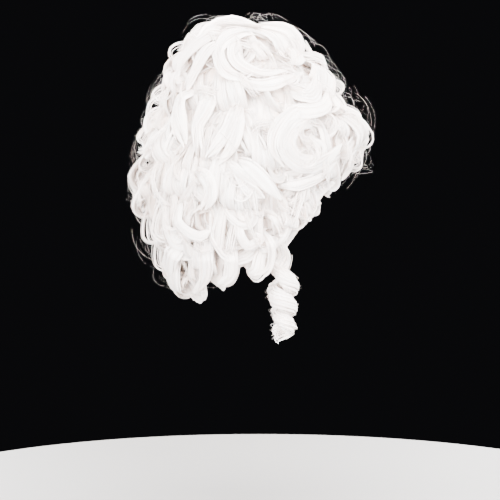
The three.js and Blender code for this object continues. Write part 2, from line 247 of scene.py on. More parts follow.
def form_levels(z):
    """The form's foremost, rearmost and half width at heights z, on a smooth curve through its rows."""
    heights, columns = FORM[:, 0], FORM[:, 1:]
    row = np.clip(np.searchsorted(heights, z) - 1, 0, len(heights) - 2)
    span = (heights[row + 1] - heights[row])[..., None]
    t = np.clip((np.asarray(z)[..., None] - heights[row][..., None]) / span, 0, 1)
    bend = span * (t * (1 - t) ** 2 * FORM_SLOPES[row] - t**2 * (1 - t) * FORM_SLOPES[row + 1])
    return columns[row] + (columns[row + 1] - columns[row]) * t * t * (3 - 2 * t) + bend


def form_point(azimuth, z):
    """Points of the form at azimuths in radians (0 front, then towards the wearer's right) and heights."""
    azimuth, z = np.broadcast_arrays(np.asarray(azimuth, float), np.asarray(z, float))
    front, back, half = np.moveaxis(form_levels(z), -1, 0)
    sine, cosine = np.sin(azimuth), np.cos(azimuth)
    fullness = (np.abs(sine) ** FORM_FULLNESS + np.abs(cosine) ** FORM_FULLNESS) ** (-1 / FORM_FULLNESS)
    y = (front + back) / 2 - (back - front) / 2 * fullness * cosine
    return np.stack((-half * fullness * sine, y, z), -1)


def form_frame(azimuth, z):
    """The form's outward normal, and the directions down and towards the face along it."""
    turn, rise = 0.02, 3  # short steps to each side, in radians and in mm
    fore = unit(form_point(azimuth - turn, z) - form_point(azimuth + turn, z))
    drop = form_point(azimuth, z - rise) - form_point(azimuth, z + rise)
    normal = unit(np.cross(drop, fore))
    return normal, unit(np.cross(fore, normal)), fore


def in_form(points):
    """Which points lie inside the form, and how far they are from its middle line, as a share."""
    front, back, half = np.moveaxis(form_levels(points[..., 2]), -1, 0)
    x_share = np.abs(points[..., 0]) / half
    y_share = np.abs(points[..., 1] - (front + back) / 2) / ((back - front) / 2)
    inside = (x_share**FORM_FULLNESS + y_share**FORM_FULLNESS < 1) & (points[..., 2] < FORM[-1, 0])
    return inside, x_share + y_share


def reach_to_form(origin, rays):
    """How far each ray goes from a point inside the form until it leaves it."""
    near = np.zeros(len(rays))
    far = np.full(len(rays), float(FORM_REACH))
    for _ in range(HALVINGS):
        middle = (near + far) / 2
        inside = in_form(origin + rays * middle[:, None])[0]
        near = np.where(inside, middle, near)
        far = np.where(inside, far, middle)
    return near


def over_hairline(points):
    """How far points lie above the hairline, seen from the side."""
    return points[..., 2] - np.interp(points[..., 1], HAIRLINE[:, 0], HAIRLINE[:, 1])


def cap_reach(rays, grow):
    """How far rays go from the cap's centre until they leave its oval and the round below it, both grown."""
    height = np.where(rays[:, 2] > 0, CAP_UPPER_HEIGHT, CAP_LOWER_HEIGHT) + grow
    halves = np.full((len(rays), 2), (CAP_HALF_WIDTH + grow, CAP_HALF_DEPTH + grow))
    oval = 1 / np.linalg.norm(rays / np.column_stack((halves, height)), axis=1)
    x, y = rays[:, 0] / (NECK_HALF_WIDTH + grow), rays[:, 1] / (NECK_HALF_DEPTH + grow)
    middle = NECK_CENTRE_Y / (NECK_HALF_DEPTH + grow)
    square = np.maximum(x * x + y * y, 1e-9)
    neck = (y * middle + np.sqrt(np.maximum((y * middle) ** 2 - square * (middle**2 - 1), 0))) / square
    in_neck = (rays[:, 2] * neck < NECK_TOP - CAP_CENTRE[2]) & (neck < FORM_REACH)
    return np.where(in_neck, np.maximum(oval, neck), oval)


def joined_mesh(name, sheets):
    """One object from many closed tubes, each given as rings of points and their fibre coordinates."""
    corners, fibres, faces, counts = [], [], [], []
    first = 0
    for rings, fibre in sheets:
        steps, sides = rings.shape[:2]
        index = first + np.arange(steps * sides).reshape(steps, sides)
        beside = np.roll(index, -1, axis=1)
        quads = np.stack((index[:-1], index[1:], beside[1:], beside[:-1]), -1).reshape(-1, 4)
        faces += [quads.ravel(), index[0], index[-1, ::-1]]
        counts += [np.full(len(quads), 4), [sides, sides]]
        corners.append(rings.reshape(-1, 3))
        fibres.append(fibre.reshape(-1, 2))
        first += steps * sides
    corners, fibres = np.concatenate(corners) * MM, np.concatenate(fibres) * MM
    faces, counts = np.concatenate(faces), np.concatenate(counts)
    mesh = bpy.data.meshes.new(name)
    mesh.vertices.add(len(corners))
    mesh.vertices.foreach_set("co", corners.ravel())
    mesh.loops.add(len(faces))
    mesh.loops.foreach_set("vertex_index", faces)
    mesh.polygons.add(len(counts))
    mesh.polygons.foreach_set("loop_start", np.concatenate(([0], np.cumsum(counts)[:-1])))
    mesh.polygons.foreach_set("use_smooth", np.ones(len(counts), bool))
    fibre_map = mesh.uv_layers.new(name="fibre_map")
    fibre_map.uv.foreach_set("vector", fibres[faces].ravel())
    mesh.update(calc_edges=True)
    mesh.validate()
    mesh.set_sharp_from_angle(angle=BAND_EDGE)
    piece = bpy.data.objects.new(name, mesh)
    bpy.context.scene.collection.objects.link(piece)
    return piece


def curled_synthetic_fibre():
    """White heat-set fibre in combed clumps: satin, bright along each clump, with cream between."""
    hair = new_material("curled_synthetic_fibre")
    fibres = add_node(hair, "ShaderNodeUVMap", uv_map="fibre_map")
    fine_scale = (1 / (FIBRE_CLUMP * MM), 1 / (FIBRE_RUN * MM), 1)
    fine_place = add_node(hair, "ShaderNodeMapping", {"Vector": fibres.outputs["UV"], "Scale": fine_scale})
    fine = add_node(
        hair, "ShaderNodeTexNoise", {"Vector": fine_place.outputs["Vector"], "Scale": 1, "Detail": 3}
    )
    broad_scale = (1 / (STRAND_GROUP * MM), 0.5 / (FIBRE_RUN * MM), 1)
    broad_place = add_node(hair, "ShaderNodeMapping", {"Vector": fibres.outputs["UV"], "Scale": broad_scale})
    broad = add_node(
        hair, "ShaderNodeTexNoise", {"Vector": broad_place.outputs["Vector"], "Scale": 1, "Detail": 2}
    )
    clumps = add_node(
        hair, "ShaderNodeMath", {0: fine.outputs["Fac"], 1: broad.outputs["Fac"]}, operation="ADD"
    )
    tone = add_node(
        hair, "ShaderNodeMapRange", {"Value": clumps.outputs["Value"], "From Min": 0.75, "From Max": 1.25}
    )
    colour = add_node(
        hair,
        "ShaderNodeMix",
        {"Factor": tone.outputs["Result"], "A": linear(HAIR_SHADE_HEX), "B": linear(HAIR_HEX)},
        data_type="RGBA",
    )
    gloss = add_node(
        hair, "ShaderNodeMapRange", {"Value": fine.outputs["Fac"], "To Min": 0.34, "To Max": 0.5}
    )
    bump = add_node(
        hair, "ShaderNodeBump", {"Strength": 0.5, "Distance": 0.5 * MM, "Height": clumps.outputs["Value"]}
    )
    tangent = add_node(hair, "ShaderNodeTangent", direction_type="UV_MAP", uv_map="fibre_map")
    surface = add_node(
        hair,
        "ShaderNodeBsdfPrincipled",
        {
            "Base Color": colour.outputs["Result"],
            "Roughness": gloss.outputs["Result"],
            "Anisotropic": 0.7,
            "Tangent": tangent.outputs["Tangent"],
            "Subsurface Weight": 0.5,
            "Subsurface Radius": (1.0, 0.9, 0.82),
            "Subsurface Scale": 5 * MM,
            "Sheen Weight": 0.15,
            "Normal": bump.outputs["Normal"],
        },
    )
    add_node(hair, "ShaderNodeOutputMaterial", {"Surface": surface.outputs["BSDF"]})
    return hair


hair_fibre = curled_synthetic_fibre()


def weft_surface(turns, tilts):
    """Rays from the cap's centre by their turn from the face and tilt, and where they leave the wefts."""
    rays = np.stack((-np.sin(turns) * np.cos(tilts), -np.cos(turns) * np.cos(tilts), np.sin(tilts)), -1)
    least = cap_reach(rays, WEFT_LEAST)
    full = np.maximum(reach_to_form(CAP_CENTRE, rays) - WEFT_DEPTH, least)
    height = over_hairline(CAP_CENTRE + rays * least[:, None]) - WEFT_LIFT
    reach = least + (full - least) * np.clip(height / WEFT_SLOPE, 0, 1) ** WEFT_GROWTH
    return rays, CAP_CENTRE + rays * reach[:, None]


def weft_edge(turns):
    """The tilt at which the wefts end above the hairline, at each turn."""
    lowest = np.full(len(turns), -math.pi / 2)
    highest = np.full(len(turns), math.pi / 2)
    for _ in range(HALVINGS):
        middle = (lowest + highest) / 2
        above = over_hairline(weft_surface(turns, middle)[1]) > WEFT_LIFT
        highest = np.where(above, middle, highest)
        lowest = np.where(above, lowest, middle)
    return highest


def weft_shell():
    """The closed shell of the wefts, as rings from its outer crown over the hairline to its inner crown."""
    turns = np.linspace(0, 2 * math.pi, WEFT_TURNS, endpoint=False)
    edge = weft_edge(turns)
    rings = []
    for share in np.linspace(WEFT_POLE, 1, WEFT_LEVELS):
        rings.append(weft_surface(turns, math.pi / 2 + (edge - math.pi / 2) * share)[1])
    for share in np.linspace(1, WEFT_POLE, WEFT_INNER_LEVELS):
        rays = weft_surface(turns, math.pi / 2 + (edge - math.pi / 2) * share)[0]
        rings.append(CAP_CENTRE + rays * cap_reach(rays, WEFT_CLEARANCE)[:, None])
    rings = np.array(rings)
    lateral = np.broadcast_to(np.abs(turns - math.pi) * CAP_HALF_DEPTH, rings.shape[:2])
    lengthwise = np.broadcast_to(np.arange(len(rings))[:, None] * WEFT_FIBRE_STEP, rings.shape[:2])
    return rings[:, ::-1], np.stack((lateral, lengthwise), -1)[:, ::-1]


def band(points, across, out, width, thickness, sides, rng, taper=TAPER):
    """A closed flat band of fibre along a path, ridged lengthwise and a little domed, with a thin tip."""
    share = np.linspace(0, 1, len(points))
    swell = 1 + BAND_SWELL * np.sin(share * rng.uniform(4, 9) + rng.uniform(*PHASE))
    widths = width / 2 * np.interp(share, *taper) * swell
    heights = thickness / 2 * np.interp(share, *BAND_THINNING)
    turn = 2 * math.pi * np.arange(sides) / sides
    ridges = 1 + rng.uniform(-BAND_RIDGE, BAND_RIDGE, sides) * np.abs(np.sin(turn))
    lateral = np.cos(turn)[None, :] * widths[:, None]
    dome = DOME * widths[:, None] * (1 - np.cos(turn)[None, :] ** 2)
    height = np.sin(turn)[None, :] * ridges[None, :] * heights[:, None] + dome
    rings = points[:, None] + across[:, None] * lateral[..., None] + out[:, None] * height[..., None]
    steps = np.linalg.norm(np.diff(points, axis=0), axis=1)
    run = np.concatenate(([0], np.cumsum(steps))) + rng.uniform(0, FIBRE_SHIFT)
    lengthwise = np.broadcast_to(run[:, None], lateral.shape)
    return rings, np.stack((lateral + rng.uniform(0, FIBRE_SHIFT), lengthwise), -1)


def combed_ribbons(lowest, highest, count, rng):
    """Narrow ribbons combed up and back over the wefts, which start between two shares of the way up."""
    share = np.linspace(0, 1, RIBBON_STEPS)
    one_each = (count, 1)
    wave = rng.uniform(-RIBBON_WAVE, RIBBON_WAVE, one_each) * np.sin(share * rng.uniform(3, 7, one_each))
    turns = rng.uniform(0, math.pi, one_each) + rng.uniform(*RIBBON_SLANT, one_each) * share + wave
    turns = (rng.choice((-1, 1), one_each) * turns).ravel()
    rise = rng.uniform(lowest, highest, one_each) + rng.uniform(*RIBBON_CLIMB, one_each) * share
    edge = weft_edge(turns)
    rays, points = weft_surface(turns, edge + (math.pi / 2 - edge) * rise.ravel())
    lift = rng.uniform(*RIBBON_LIFT, one_each) * np.sin(math.pi * np.clip(share, 0.06, 0.96))
    points = points + rays * lift.reshape(-1, 1)
    sheets = []
    for line, out in zip(points.reshape(count, -1, 3), rays.reshape(count, -1, 3)):
        across = unit(np.cross(np.gradient(line, axis=0), out))
        size = rng.uniform(*RIBBON_WIDTH), rng.uniform(*RIBBON_THICKNESS)
        sheets.append(band(line, across, out, *size, RIBBON_SIDES, rng, WISP_TAPER))
    return sheets


rng = np.random.default_rng(WEFT_SEED)
weft_sheets = [weft_shell()]
for row in RIBBON_ROWS:
    weft_sheets += combed_ribbons(*row, rng)
wefts = joined_mesh("weft_rows", weft_sheets)
wefts.data.materials.append(hair_fibre)
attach(wefts, "root")


# Nape curls
# The lowest curls, which hang below the cap at the back and turn in or flip out. Each is a lock of fibre,
# sewn on at its root and set by heat round a rod: thin bands under narrow wisps that part towards the tip,
# with loose strands over them.
LOCK_COLUMNS = ("azimuth", "z", "flow", "roll", "radius", "width", "turns", "lead", "sides", "depth")
# Azimuth is in degrees from the face, and flow from straight down towards the face. A lock with no roll
# turns under, one at 90 lies flat and one at 180 flips out. Lead is the straight run before the curl.
NAPE_LOCKS = (
    (122, -178, 0, 20, 15, 26, 1.05, 45, "both"),
    (159, -174, 0, 180, 15, 28, 0.9, 40, "both"),
    (144, -206, 0, 75, 14, 26, 1.3, 40, "both"),
    (180, -206, 0, 0, 14, 28, 1.05, 45, "centre"),
    (151, -198, 0, 10, 14, 24, 1.05, 40, "both", -3),
)
ROOT_DEPTH = WEFT_DEPTH + 5  # where a lock's root lies, under the outer form
CURL_SHRINK = 0.5  # share of its radius that a curl loses on its way to the tip
SWIRL_SHRINK = 0.84  # the same for a curl that lies flat
CURL_DRIFT = 0.12  # sideways travel of a curl along its axis, as a share of its width
CURL_STEPS = 7  # stations of any curl, and how many more for each turn
CURL_TURN_STEPS = 12
LEAD_STEPS = 7
LEAD_DROP = 8  # how far the root lies below the start of the curl, at least
LEAD_DIVE = 1.5  # exponent of the way down to the root: above 1 it is steepest there
FUNNEL_START = math.radians(70)  # lean of a flat swirl's band, from standing on edge towards lying flat
FUNNEL_END = math.radians(38)
SWIRL_ROLL = (60, 120)  # a main lock that is rolled as far as this is a flat swirl
MAIN_LOCK = {"bands": 4, "body": True, "wisps": 4, "wisp_width": (1.6, 4.6), "strands": 1}  # for each band
SWIRL_LOCK = {"bands": 3, "body": True, "wisps": 6, "wisp_width": (1.6, 4.6), "strands": 2}
SMALL_LOCK = {"bands": 1, "body": True, "wisps": 5, "wisp_width": (1.6, 4.6), "strands": 1}
LOOSE_LOCK = {"bands": 1, "body": False, "wisps": 4, "wisp_width": (0.7, 1.7), "strands": 5}
LOCK_GATHER = ((0, 0.3, 1), (0.5, 1, 0.85))  # how far its bands are spread at each share of the length
BAND_CROWDING = 0.75  # a lock of n bands has bands as wide as the lock divided by n to this power
BAND_OVERLAP = (1.3, 1.7)  # width of the bands of a drawn lock or a ringlet, as a share of their spacing
BAND_SIDES = 6
BAND_THICKNESS = 1.6
WISP_SIDES = 4
WISP_THICKNESS = (0.6, 1.0)
WISP_OUTSIDE = 0.72  # share of the wisps that lie on the outer side of their band
WISP_SPREAD = 1.25  # how wide they lie, as a share of their band's width
WISP_WANDER = 1.6
WISP_LIFT = 0.55  # share of the band's thickness
PARTING_START = 0.55  # share of the length after which wisps and strands leave their band
PARTING_ASIDE = 16  # how far they stray, for each squared share of the length after that
PARTING_RISE = (1, 8)
STRAND_SIDES = 3
STRAND_RADIUS = (0.15, 0.3)
STRAND_TAPER = ((0, 0.7, 1), (1, 1, 0.4))
STRAND_SPREAD = 1.4
STRAND_WANDER = 2.4
STRAND_LIFT = 1  # over the band
STRAND_FIBRE_STEP = 3.0
ASKEW = (0.31, 0.52, 0.79)  # a direction that no strand keeps to
SCATTER_BASE = 8  # lowest scattered curl, above the form's lowest level
SCATTER = (0.1, 0.9)  # place of a scattered curl in its cell, as shares
LOOSE_SPACING = 44
LOOSE_TOP_MARGIN = 60
LOOSE_DEPTH = (-6, 0)
LOOSE_SWIRLS = 0.5  # share of the loose curls that lie flat
FLYAWAY_RADIUS = (0.015, 0.03)
FLYAWAY_STEPS = 16
FLYAWAY_TRIES = 60  # directions tried for each tuft, of which most leave through other sections
FLYAWAY_BEND = (12, 40)  # radius of the arcs
FLYAWAY_LOOP = 1.6  # height of the tallest loop, in radii
FLYAWAY_ROOT = 4  # how far under the form an arc starts
FLYAWAY_SCATTER = 4
FLYAWAY_STRAY = 6
FLYAWAY_HEIGHT = (2, 18)
FLYAWAY_LOWNESS = 1.4  # exponent of the height: above 1 most of them stay low
FLYAWAY_SETTLING = np.array((0.4, 0.3, 0.5))  # share that is lost on the sides, the back and the top
FLYAWAY_TUFT = (1, 4)  # fibres that stand off together
FILLER_DEPTH = (2, 9)
FILLER_KEEP_OUT = 0.8  # share of a main curl's radius where no small curl starts
FILLER_TOP_MARGIN = 20  # no small curl starts in a layer that begins nearer than this to the very top
CROWN_SHOULDER = 80  # above this level small curls lie deeper, by the share below of their height above it
TOP_SINK = 0.4
DRAWN_STEPS = 6  # for each point of the line
DRAWN_BAND = 7  # distance between the bands of a drawn lock
DRAWN_JITTER = 1.6  # how far they wander, in the photo's pixels
DRAWN_REST = (0, 0.3, 0.75, 1)  # shares of the length between which a drawn lock lies on the form
DRAWN_ROOT = 18  # depth of its root
DRAWN_DEPTH = 1
DRAWN_GATHER = ((0, 0.3, 0.8, 1), (0.5, 1, 1, 0.6))
FAR_SIDE_SHIFT = 6  # in the photo's pixels, because the far side is only alike
TEMPLE = (-104, -22)  # the hairline beside the face, in y
TEMPLE_INWARD = np.array((0.78, 0.62))  # from the hairline into the hair, seen from the side
HOOK_INWARD = (-9, 1)  # where the hooks along the hairline lie, measured into the hair
SWEEP_INWARD = (8, 30)  # the same for the locks that sweep back from it
IMAGE_SIDE = 500
PHOTO_SCALE = 0.0012  # metres of the object for each pixel of the photo, at the mid plane
SIGHT_POINT = (0.0, 0.0144, -0.1572)  # what the camera looks at, in metres
SIGHT_NEAR = 170  # how far before and behind the mid plane a line of sight is searched for the form
SIGHT_FAR = 30
CAMERA_DISTANCE = 1.5
FAR = 300  # beyond the hair on every side
WHOLE_FORM = {
    "x": (-FAR, FAR),
    "y": (-FAR, FAR),
    "z": (-FAR, FAR),
    "margin": 0,  # least height above the hairline
    "spacing": 27,  # of the small curls
    "swirls": 0.4,  # share of the small curls that lie flat
    "depth": 4,  # of the main locks
}  # what holds for a section that says nothing else


def lock_path(lock, side):
    """Stations along one lock: its points and the direction across its band."""
    azimuth = side * math.radians(lock["azimuth"])
    normal, down, fore = form_frame(azimuth, lock["z"])
    flow = math.radians(lock["flow"])
    roll = side * math.radians(lock["roll"])
    forward = down * math.cos(flow) + fore * side * math.sin(flow)
    aside = np.cross(normal, forward)
    out = normal * math.cos(roll) + aside * math.sin(roll)
    across = aside * math.cos(roll) - normal * math.sin(roll)
    flat = abs(math.sin(roll))
    inset = lock["radius"] * abs(math.cos(roll)) + lock["width"] / 2 * flat + lock["depth"]
    centre = form_point(azimuth, lock["z"]) - normal * inset
    share = np.linspace(0, 1, int(CURL_STEPS + CURL_TURN_STEPS * lock["turns"]))[:, None]
    angle = 2 * math.pi * lock["turns"] * share
    radial = out * np.cos(angle) + forward * np.sin(angle) * lock["oval"]
    shrink = CURL_SHRINK + (SWIRL_SHRINK - CURL_SHRINK) * flat
    drift = across * CURL_DRIFT * lock["width"] * share
    curl = centre + radial * lock["radius"] * (1 - shrink * share) + drift
    back = np.linspace(1, 0, LEAD_STEPS, endpoint=False)[:, None]
    start_depth = inset - lock["radius"] * math.cos(roll)
    depth = start_depth + (max(ROOT_DEPTH, start_depth + LEAD_DROP) - start_depth) * back**LEAD_DIVE
    wave = lock["wave"] * np.sin(back * math.pi * 1.5) * back
    straight = np.concatenate((curl[0] - forward * lock["lead"] * back + aside * wave, curl[:1]))
    depth = np.concatenate((depth[:, 0], [start_depth]))
    rays = unit(straight - FORM_HEART)
    laid = FORM_HEART + rays * (reach_to_form(FORM_HEART, rays) - depth)[:, None]
    lead = laid[:-1] + (curl[0] - laid[-1]) * (1 - back) ** 2
    lean = (FUNNEL_START + (FUNNEL_END - FUNNEL_START) * share) * flat + lock["cone"] * (1 - flat)
    facing = -1 if math.sin(roll) > 0.5 else 1
    leaning = facing * across * np.cos(lean) + radial * np.sin(lean)
    if np.cross(leaning[0], forward) @ normal < 0:
        leaning = -leaning
    return np.concatenate((lead, curl)), np.concatenate((np.broadcast_to(leaning[0], lead.shape), leaning))


def squared_frame(points, across):
    """The directions across and out of a band, both square to its path, and the length run so far."""
    along = unit(np.gradient(points, axis=0))
    across = unit(across - along * (across * along).sum(1, keepdims=True))
    steps = np.linalg.norm(np.diff(points, axis=0), axis=1)
    return across, np.cross(across, along), np.concatenate(([0], np.cumsum(steps)))


def strand(points, radius, rng):
    """A thin closed strand along a path."""
    along = unit(np.gradient(points, axis=0))
    beside = unit(np.cross(along, ASKEW))
    over = np.cross(beside, along)
    turn = 2 * math.pi * np.arange(STRAND_SIDES) / STRAND_SIDES
    taper = np.interp(np.linspace(0, 1, len(points)), *STRAND_TAPER)[:, None, None] * radius
    circle = beside[:, None] * np.cos(turn)[None, :, None] + over[:, None] * np.sin(turn)[None, :, None]
    rings = points[:, None] + circle * taper
    lengthwise = np.broadcast_to(np.arange(len(points))[:, None] * STRAND_FIBRE_STEP, rings.shape[:2])
    return rings, np.stack((np.full(rings.shape[:2], rng.uniform(0, FIBRE_SHIFT)), lengthwise), -1)


def beside_band(path, width, spread, lift, rng):
    """A wandering line that lies over a band, leaves it towards the tip, and covers part of its length."""
    points, across, out, run = path
    share = run / run[-1]
    place = rng.uniform(-1, 1)
    wander = rng.uniform(0.4, 1) * spread * np.sin(share * rng.uniform(3, 9) + rng.uniform(*PHASE))
    parting = np.clip(share - PARTING_START, 0, 1) ** 2
    sideways = place * width / 2 * np.interp(share, *TAPER) + wander + rng.normal(0, PARTING_ASIDE) * parting
    level = lift + DOME * width / 2 * (1 - place**2) + rng.normal(0, 0.3)
    rise = level + rng.normal(*PARTING_RISE) * parting
    keep = (share >= rng.uniform(0, 0.14)) & (share <= rng.uniform(0.8, 1))
    line = points + across * sideways[:, None] + out * np.reshape(rise, (-1, 1))
    return line[keep], across[keep], out[keep]


def dressed(points, across, width, counts, rng):
    """A band of fibre along a path, with the wisps and strands that lie on it."""
    across, out, run = squared_frame(points, across)
    sheets = []
    if counts["body"]:
        sheets.append(band(points, across, out, width, BAND_THICKNESS, BAND_SIDES, rng))
    path = points, across, out, run
    for _ in range(counts["wisps"]):
        outside = 1 if rng.uniform() < WISP_OUTSIDE else -1
        lift = outside * BAND_THICKNESS * WISP_LIFT
        line, line_across, line_out = beside_band(path, width * WISP_SPREAD, WISP_WANDER, lift, rng)
        size = rng.uniform(*counts["wisp_width"]), rng.uniform(*WISP_THICKNESS)
        sheets.append(band(line, line_across, line_out, *size, WISP_SIDES, rng, WISP_TAPER))
    for _ in range(counts["strands"]):
        lift = BAND_THICKNESS / 2 + STRAND_LIFT
        line = beside_band(path, width * STRAND_SPREAD, STRAND_WANDER, lift, rng)[0]
        sheets.append(strand(line, rng.uniform(*STRAND_RADIUS), rng))
    return sheets


def lock_sheets(lock, side, rng):
    """The bands, wisps and strands of one lock, each band wound a little apart from the next."""
    sheets = []
    bands = lock["bands"]
    for k in range(bands):
        own = dict(lock)
        own["radius"] = lock["radius"] * rng.uniform(0.84, 1.04)
        own["turns"] = lock["turns"] + rng.uniform(-0.1, 0.25)
        own["roll"] = lock["roll"] + rng.uniform(-8, 8)
        own["flow"] = lock["flow"] + rng.uniform(-8, 8)
        own["depth"] = lock["depth"] + rng.uniform(-1, 3)
        own["lead"] = lock["lead"] * rng.uniform(0.85, 1.2)
        own["wave"] = lock["wave"] + rng.uniform(-3, 3)
        own["cone"] = lock["cone"] + rng.uniform(-0.08, 0.08)
        points, across = lock_path(own, side)
        slot = (k - (bands - 1) / 2) / bands * lock["width"]
        gather = np.interp(np.linspace(0, 1, len(points)), *LOCK_GATHER)
        points = points + across * slot * gather[:, None]
        width = lock["width"] / bands**BAND_CROWDING * rng.uniform(1, 1.2)
        sheets += dressed(points, across, width, lock, rng)
    return sheets


def seen_on_form(pixels):
    """Where lines of sight through the photo's pixels meet the hair's outer form, on the wearer's right."""
    across, up = (pixels - IMAGE_SIDE / 2).T * PHOTO_SCALE
    aims = unit(np.stack((np.full(len(pixels), CAMERA_DISTANCE), -across, -up), -1))
    eye = np.array((SIGHT_POINT[0] - CAMERA_DISTANCE, SIGHT_POINT[1], SIGHT_POINT[2])) / MM
    middle = CAMERA_DISTANCE / MM
    walk = eye + aims[:, None] * np.arange(middle - SIGHT_NEAR, middle + SIGHT_FAR, 1.0)[None, :, None]
    inside, shares = in_form(walk)
    first = np.where(inside.any(1), inside.argmax(1), shares.argmin(1))
    return walk[np.arange(len(pixels)), first]


def form_normal(points):
    """The form's outward normal at points on or near it."""
    front, back, half = form_levels(points[:, 2]).T
    azimuth = np.arctan2(-points[:, 0] / half, -(points[:, 1] - (front + back) / 2) / ((back - front) / 2))
    return form_frame(azimuth, points[:, 2])[0]


def smooth_line(points, count):
    """A curve through points, as a number of stations evenly shared out over its spans."""
    ends = np.concatenate((2 * points[:1] - points[1:2], points, 2 * points[-1:] - points[-2:-1]))
    at = np.linspace(0, len(points) - 1, count)
    span = np.minimum(at.astype(int), len(points) - 2)
    t = (at - span)[:, None]
    a, b, c, d = (ends[span + k] for k in range(4))
    return b + t / 2 * (c - a + t * (2 * a - 5 * b + 4 * c - d + t * (3 * (b - c) + d - a)))


def drawn_sheets(row, side, rng):
    """A lock along a line drawn over the photo, with its root and tip sunk in, mirrored for the far side."""
    width, sink, pixels = row[0], row[1], np.array(row[2:], float)
    if side < 0:
        pixels[1:] += rng.normal(0, FAR_SIDE_SHIFT, pixels[1:].shape)
    sheets = []
    bands = max(1, round(width / DRAWN_BAND))
    steps = DRAWN_STEPS * len(pixels)
    for k in range(bands):
        jitter = rng.normal(0, DRAWN_JITTER, pixels.shape)
        line = smooth_line(seen_on_form(pixels + jitter), steps)
        normal = form_normal(line)
        share = np.linspace(0, 1, steps)[:, None]
        depths = (DRAWN_ROOT, DRAWN_DEPTH, DRAWN_DEPTH, sink)
        depth = np.interp(share, DRAWN_REST, depths) + rng.uniform(-1, 2)
        along = unit(np.gradient(line, axis=0))
        across = unit(np.cross(along, normal))
        slot = (k - (bands - 1) / 2) / bands * width
        line = line - normal * depth + across * slot * np.interp(share, *DRAWN_GATHER)
        mirror = np.array((side, 1.0, 1.0))
        band_width = width / bands * rng.uniform(*BAND_OVERLAP)
        sheets += dressed(line * mirror, across * mirror * side, band_width, MAIN_LOCK, rng)
    return sheets


def hairline_sheets(count, rng):
    """Small locks along the edge beside the face: half hook over it, and the others sweep up and back."""
    sheets = []
    for k in range(count):
        hook = k % 4 < 2
        y = rng.uniform(*TEMPLE)
        z = np.interp(y, HAIRLINE[:, 0], HAIRLINE[:, 1])
        inward = rng.uniform(*(HOOK_INWARD if hook else SWEEP_INWARD))
        place = np.array((y, z)) + TEMPLE_INWARD * inward
        front, back = form_levels(np.array(place[1]))[:2]
        share = (place[0] - (front + back) / 2) / ((back - front) / 2)
        beside = (1 - abs(share) ** FORM_FULLNESS) ** (1 / FORM_FULLNESS)
        lock = {
            "azimuth": math.degrees(math.atan2(beside, -share)),
            "z": place[1],
            "flow": rng.normal(35, 20) if hook else rng.normal(-140, 22),
            "roll": rng.normal(0, 30),
            "radius": rng.uniform(6, 8) if hook else rng.uniform(8, 12),
            "width": rng.uniform(7, 10) if hook else rng.uniform(10, 16),
            "turns": rng.uniform(0.7, 1.2),
            "lead": rng.uniform(24, 40) if hook else inward * rng.uniform(0.7, 0.95),
            "depth": rng.uniform(4, 10),
            "wave": rng.uniform(-8, 8),
            "cone": rng.uniform(-0.3, 0.3),
            "oval": rng.uniform(0.9, 1.3),
        }
        sheets += lock_sheets({**lock, **SMALL_LOCK}, (1, -1)[k % 2], rng)
    return sheets


def main_locks(rows, depth, keep_side, rng):
    """Each main lock of a table with the side it is on: 1 for the wearer's right, -1 for the left."""
    locks = []
    for row in rows:
        lock = {"depth": depth, **dict(zip(LOCK_COLUMNS, row))}
        lock.update(SWIRL_LOCK if SWIRL_ROLL[0] < abs(lock["roll"]) < SWIRL_ROLL[1] else MAIN_LOCK)
        for side in {"both": (1, -1), "centre": (1,), "right": (1,), "left": (-1,)}[lock["sides"]]:
            own = dict(lock)
            own["flow"] = lock["flow"] + rng.normal(0, 14)
            own["wave"] = rng.uniform(-11, 11)
            own["cone"] = rng.uniform(-0.22, 0.22)
            own["oval"] = rng.uniform(0.86, 1.08)
            if side in keep_side:
                locks.append((own, side))
    return locks


def in_region(points, region):
    """Which points lie in a region's box and above the hairline."""
    inside = over_hairline(points) > region["margin"]
    for axis, key in enumerate("xyz"):
        inside &= (points[:, axis] >= region[key][0]) & (points[:, axis] <= region[key][1])
    return inside


def scattered_places(region, spacing, top_margin, rng):
    """Jittered azimuths and heights, evenly spaced over the part of the form that lies in a region."""
    low, high = region["z"]
    places = []
    for z in np.arange(max(low, FORM[0, 0] + SCATTER_BASE), min(high, FORM[-1, 0] - top_margin), spacing):
        front, back, half = form_levels(np.array(z))
        count = max(3, round(math.pi * (half + (back - front) / 2) / spacing))
        azimuths = 2 * math.pi * (np.arange(count) + rng.uniform(*SCATTER, count)) / count
        heights = z + spacing * rng.uniform(*SCATTER, count)
        keep = in_region(form_point(azimuths, heights), region)
        places += zip(azimuths[keep], heights[keep])
    return places


def small_curl(azimuth, z, swirl_share, rng):
    """A small curl at a place on the form: a flat swirl, or one that rolls under."""
    swirl = rng.uniform() < swirl_share
    return {
        "azimuth": math.degrees(azimuth),
        "z": z,
        "flow": rng.normal(0, 34),
        "roll": rng.choice((-1, 1)) * rng.uniform(50, 95) if swirl else rng.uniform(-40, 40),
        "radius": rng.uniform(8, 13),
        "width": rng.uniform(11, 17),
        "turns": rng.uniform(0.9, 1.5),
        "lead": rng.uniform(28, 60),
        "wave": rng.uniform(-8, 8),
        "cone": rng.uniform(-0.3, 0.3),
        "oval": rng.uniform(0.8, 1.2),
    }


